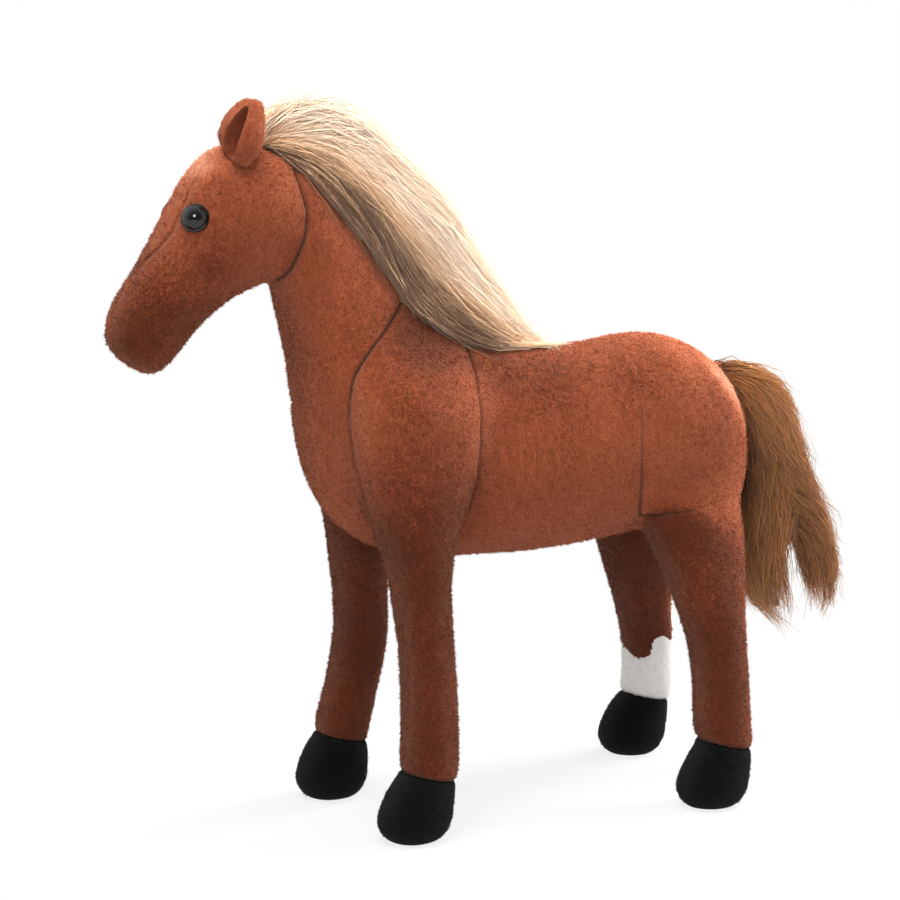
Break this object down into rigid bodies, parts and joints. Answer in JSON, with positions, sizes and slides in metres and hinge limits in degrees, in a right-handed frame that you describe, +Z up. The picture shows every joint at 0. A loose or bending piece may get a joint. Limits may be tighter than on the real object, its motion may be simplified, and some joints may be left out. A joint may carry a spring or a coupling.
{
  "type": "plush horse",
  "caption": "Standing stuffed toy horse in chestnut short-pile plush with a long cream mane, a brown hair tail, black hooves, a white sock and glossy safety eyes.",
  "frame": {"origin": "on the floor, under the middle of the horse's length and width", "axes": "+Z up, the horse faces -Y, and its left side is +X"},
  "size_m": [0.1544, 0.4226, 0.3815],
  "materials": {
    "coat": "short chestnut pile plush",
    "hoof_velour": "black velour",
    "sock_plush": "short white pile plush",
    "ear_lining": "smooth chestnut velour",
    "mane_hair": "long cream pile",
    "tail_hair": "long brown pile",
    "backing": "woven backing tape",
    "fibre": "white polyester fibre filling",
    "eye_plastic": "polished black",
    "washer_plastic": "white moulded plastic",
    "sole_board": "stiff fibre board"
  },
  "bodies": {
    "horse": {"barrel_cover": "coat", "rump_cover": "coat", "neck_cover": "coat", "forehead_gusset": "coat", "cheek_left": "coat", "cheek_right": "coat", "front_leg_left_cover": "coat", "front_leg_left_hoof": "hoof_velour", "front_leg_left_sole_plate": "sole_board", "front_leg_left_filling": "fibre", "front_leg_right_cover": "coat", "front_leg_right_hoof": "hoof_velour", "front_leg_right_sole_plate": "sole_board", "front_leg_right_filling": "fibre", "hind_leg_left_cover": "coat", "hind_leg_left_hoof": "hoof_velour", "hind_leg_left_sole_plate": "sole_board", "hind_leg_left_filling": "fibre", "hind_leg_right_cover": "coat", "hind_leg_right_hoof": "hoof_velour", "hind_leg_right_sole_plate": "sole_board", "hind_leg_right_filling": "fibre", "hind_leg_right_sock": "sock_plush", "eye_left": "eye_plastic", "eye_washer_left": "washer_plastic", "eye_right": "eye_plastic", "eye_washer_right": "washer_plastic", "torso_filling": "fibre", "neck_filling": "fibre", "head_filling": "fibre", "mane_strip": "backing", "mane_pile": "mane_hair"},
    "left_ear": {"ear_left": "coat", "ear_lining_left": "ear_lining"},
    "right_ear": {"ear_right": "coat", "ear_lining_right": "ear_lining"},
    "dock": {"tail_dock": "coat"},
    "tail": {"tail_pile": "tail_hair"}
  },
  "joints": [
    {"name": "left_ear_fold", "type": "hinge", "parent": "horse", "child": "left_ear", "pos_m": [0.01429, -0.14557, 0.34787], "axis": [0.9521, 0.1679, -0.2555], "range_deg": [-15, 15], "stiffness_Nm_per_rad": 0.02},
    {"name": "right_ear_fold", "type": "hinge", "parent": "horse", "child": "right_ear", "pos_m": [-0.01432, -0.13884, 0.34864], "axis": [0.9521, -0.1679, 0.2555], "range_deg": [-15, 15], "stiffness_Nm_per_rad": 0.02},
    {"name": "tail_swish", "type": "hinge", "parent": "horse", "child": "dock", "pos_m": [0, 0.14541, 0.22897], "axis": [0, 1, 0], "range_deg": [-35, 35]},
    {"name": "tail_lift", "type": "hinge", "parent": "dock", "child": "tail", "pos_m": [0, 0.14541, 0.22897], "axis": [1, 0, 0], "range_deg": [0, 60]}
  ]
}
